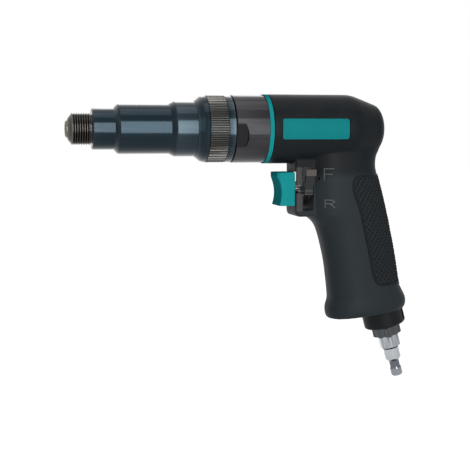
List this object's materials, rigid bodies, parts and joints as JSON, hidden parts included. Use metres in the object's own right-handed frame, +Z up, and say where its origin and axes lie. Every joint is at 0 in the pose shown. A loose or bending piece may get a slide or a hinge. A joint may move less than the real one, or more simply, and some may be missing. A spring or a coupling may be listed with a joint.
{
  "type": "pneumatic pistol-grip screwdriver",
  "caption": "Pistol-grip air screwdriver: round barrel with stepped threaded nose, knurled torque ring, trigger with reverse lever, rubber-panelled grip and air plug at the foot.",
  "frame": {"origin": "on the spindle axis at the mouth of the bit socket, which is the tip of the nose", "axes": "+X back along the spindle and barrel, +Z up so the grip hangs down, -Y the side with the plain name plate"},
  "size_m": [0.229, 0.0454, 0.1925],
  "materials": {
    "housing": "satin",
    "grip_rubber": "diamond pattern",
    "name_plate": "satin",
    "accent_ring": "satin",
    "gear_housing": "semi-gloss",
    "clutch_case": "black oxide, polished",
    "nose_bush": "satin",
    "ring_friction_ring": "matt",
    "spindle_bearing_outer": "ground",
    "carrier_bearing_outer": "ground",
    "rotor_bearing_outers": "ground",
    "bearing_balls": "polished",
    "retaining_ring": "plain",
    "ring_gear": "hardened",
    "front_end_plate": "ground",
    "motor_cylinder": "honed",
    "rear_end_plate": "ground",
    "cylinder_pin": "ground",
    "throttle_seat": "satin",
    "throttle_spring": "bright",
    "valve_retaining_pin": "ground",
    "detent_ball": "polished",
    "detent_spring": "bright",
    "detent_screw": "black oxide",
    "inlet_bushing": "black oxide",
    "inlet_screen": "bright",
    "silencer": "felt",
    "air_nipple": "polished",
    "trigger": "satin",
    "trigger_stem": "ground",
    "trigger_pin": "ground",
    "throttle_valve": "satin",
    "reverse_valve": "satin",
    "reverse_lever": "satin",
    "lever_screw": "bright",
    "valve_o_rings": "matt",
    "torque_ring": "black oxide",
    "spring_seat": "plain",
    "seat_pins": "ground",
    "thrust_race_fixed": "ground",
    "thrust_balls": "polished",
    "thrust_race_turning": "ground",
    "clutch_spring": "shot-peened",
    "clutch_cam": "hardened",
    "planet_carrier": "hardened",
    "planet_pins": "ground",
    "carrier_bearing_inner": "ground",
    "planet_gear_a": "hardened",
    "planet_gear_b": "hardened",
    "planet_gear_c": "hardened",
    "spindle": "ground",
    "spindle_bearing_inner": "ground",
    "clutch_balls": "polished",
    "bit_ball": "polished",
    "bit_clip": "spring steel",
    "rotor": "ground",
    "rotor_vanes": "fibre laminate",
    "rotor_bearing_inners": "ground",
    "exhaust_deflector": "satin"
  },
  "bodies": {
    "frame": {"housing": "housing", "grip_rubber": "grip_rubber", "name_plate": "name_plate", "accent_ring": "accent_ring", "gear_housing": "gear_housing", "clutch_case": "clutch_case", "nose_bush": "nose_bush", "ring_friction_ring": "ring_friction_ring", "spindle_bearing_outer": "spindle_bearing_outer", "carrier_bearing_outer": "carrier_bearing_outer", "rotor_bearing_outers": "rotor_bearing_outers", "bearing_balls": "bearing_balls", "retaining_ring": "retaining_ring", "ring_gear": "ring_gear", "front_end_plate": "front_end_plate", "motor_cylinder": "motor_cylinder", "rear_end_plate": "rear_end_plate", "cylinder_pin": "cylinder_pin", "throttle_seat": "throttle_seat", "throttle_spring": "throttle_spring", "valve_retaining_pin": "valve_retaining_pin", "detent_ball": "detent_ball", "detent_spring": "detent_spring", "detent_screw": "detent_screw", "inlet_bushing": "inlet_bushing", "inlet_screen": "inlet_screen", "silencer": "silencer", "air_nipple": "air_nipple"},
    "trigger": {"trigger": "trigger", "trigger_stem": "trigger_stem", "trigger_pin": "trigger_pin", "throttle_valve": "throttle_valve"},
    "reverser": {"reverse_valve": "reverse_valve", "reverse_lever": "reverse_lever", "lever_screw": "lever_screw", "valve_o_rings": "valve_o_rings"},
    "torque_ring": {"torque_ring": "torque_ring"},
    "seat": {"spring_seat": "spring_seat", "seat_pins": "seat_pins", "thrust_race_fixed": "thrust_race_fixed", "thrust_balls": "thrust_balls"},
    "thrust_race": {"thrust_race_turning": "thrust_race_turning", "clutch_spring": "clutch_spring"},
    "carrier": {"planet_carrier": "planet_carrier", "planet_pins": "planet_pins", "carrier_bearing_inner": "carrier_bearing_inner"},
    "cam": {"clutch_cam": "clutch_cam"},
    "planet_a": {"planet_gear_a": "planet_gear_a"},
    "planet_b": {"planet_gear_b": "planet_gear_b"},
    "planet_c": {"planet_gear_c": "planet_gear_c"},
    "spindle": {"spindle": "spindle", "spindle_bearing_inner": "spindle_bearing_inner", "clutch_balls": "clutch_balls", "bit_ball": "bit_ball", "bit_clip": "bit_clip"},
    "rotor": {"rotor": "rotor", "rotor_vanes": "rotor_vanes", "rotor_bearing_inners": "rotor_bearing_inners"},
    "deflector": {"exhaust_deflector": "exhaust_deflector"}
  },
  "joints": [
    {"name": "trigger_pull", "type": "slide", "parent": "frame", "child": "trigger", "axis": [1, 0, 0], "range_m": [0, 0.0035], "stiffness_N_per_m": 700, "springref_m": -0.005, "deforming": ["throttle_spring"]},
    {"name": "reverse_turn", "type": "hinge", "parent": "frame", "child": "reverser", "pos_m": [0.1563, 0, -0.0392], "axis": [1, 0, 0], "range_deg": [0, 66.58]},
    {"name": "torque_set", "type": "hinge", "parent": "frame", "child": "torque_ring", "pos_m": [0.0938, 0, 0], "axis": [1, 0, 0], "range_deg": [0, 330]},
    {"name": "seat_advance", "type": "slide", "parent": "frame", "child": "seat", "axis": [-1, 0, 0], "range_m": [0, 0.0036], "deforming": ["clutch_spring"]},
    {"name": "thrust_race_spin", "type": "hinge", "parent": "seat", "child": "thrust_race", "pos_m": [0.0848, 0, 0], "axis": [1, 0, 0], "continuous": true},
    {"name": "carrier_spin", "type": "hinge", "parent": "frame", "child": "carrier", "pos_m": [0.1168, 0, 0], "axis": [1, 0, 0], "continuous": true},
    {"name": "clutch_slip", "type": "slide", "parent": "carrier", "child": "cam", "axis": [1, 0, 0], "range_m": [0, 0.002], "stiffness_N_per_m": 2000, "springref_m": -0.004, "deforming": ["clutch_spring"]},
    {"name": "planet_a_spin", "type": "hinge", "parent": "carrier", "child": "planet_a", "pos_m": [0.1288, 0, 0.01013], "axis": [1, 0, 0], "continuous": true},
    {"name": "planet_b_spin", "type": "hinge", "parent": "carrier", "child": "planet_b", "pos_m": [0.1288, -0.00877, -0.00506], "axis": [1, 0, 0], "continuous": true},
    {"name": "planet_c_spin", "type": "hinge", "parent": "carrier", "child": "planet_c", "pos_m": [0.1288, 0.00877, -0.00506], "axis": [1, 0, 0], "continuous": true},
    {"name": "spindle_spin", "type": "hinge", "parent": "frame", "child": "spindle", "pos_m": [0.0278, 0, 0], "axis": [1, 0, 0], "continuous": true},
    {"name": "rotor_spin", "type": "hinge", "parent": "frame", "child": "rotor", "pos_m": [0.1628, 0, 0], "axis": [1, 0, 0], "continuous": true},
    {"name": "deflector_turn", "type": "hinge", "parent": "frame", "child": "deflector", "pos_m": [0.21247, 0, -0.12166], "axis": [0.2588, 0, -0.9659], "continuous": true}
  ],
  "couplings": [
    {"joint": "seat_advance", "follows": "torque_set", "m_per_rad": 0.000625},
    {"joint": "thrust_race_spin", "follows": "rotor_spin", "ratio": 0.22222},
    {"joint": "carrier_spin", "follows": "rotor_spin", "ratio": 0.22222},
    {"joint": "spindle_spin", "follows": "rotor_spin", "ratio": 0.22222},
    {"joint": "planet_a_spin", "follows": "rotor_spin", "ratio": -0.62222},
    {"joint": "planet_b_spin", "follows": "rotor_spin", "ratio": -0.62222},
    {"joint": "planet_c_spin", "follows": "rotor_spin", "ratio": -0.62222}
  ]
}
